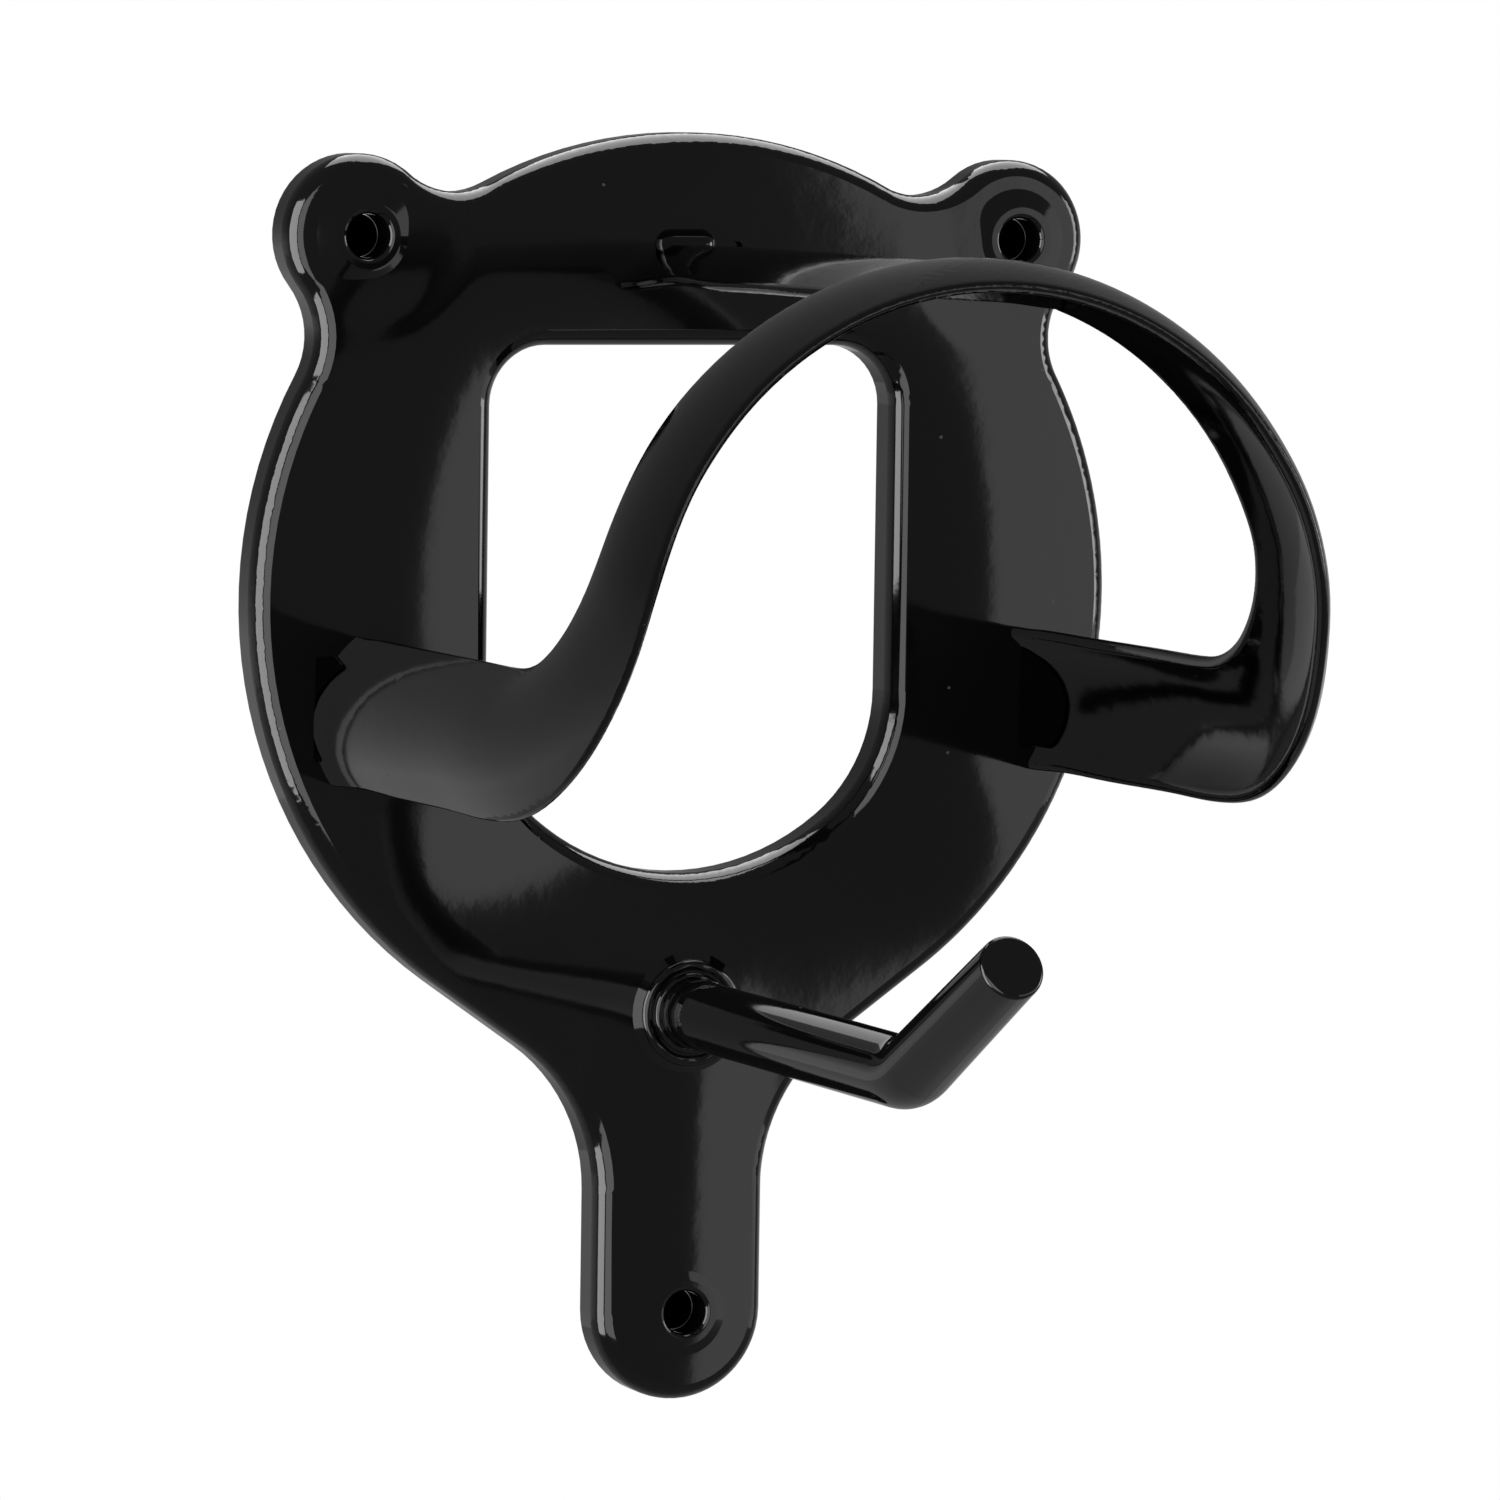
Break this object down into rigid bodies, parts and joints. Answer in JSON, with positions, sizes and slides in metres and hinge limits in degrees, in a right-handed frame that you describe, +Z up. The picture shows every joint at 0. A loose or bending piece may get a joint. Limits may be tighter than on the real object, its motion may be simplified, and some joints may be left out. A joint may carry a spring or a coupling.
{
  "type": "bridle hanger",
  "caption": "Wall bracket for a bridle: a dished plate with a window, an arched strap for the headpiece and an upturned hook for the reins.",
  "frame": {"origin": "foot of the plate on the wall, in the middle of the plate's back rim", "axes": "+X to the right as seen from the front, +Y into the wall, +Z up"},
  "size_m": [0.139, 0.1219, 0.1908],
  "materials": {
    "black_coat": "gloss"
  },
  "bodies": {
    "root": {"back_plate": "black_coat", "bridle_arch": "black_coat", "rein_hook": "black_coat"}
  },
  "joints": []
}
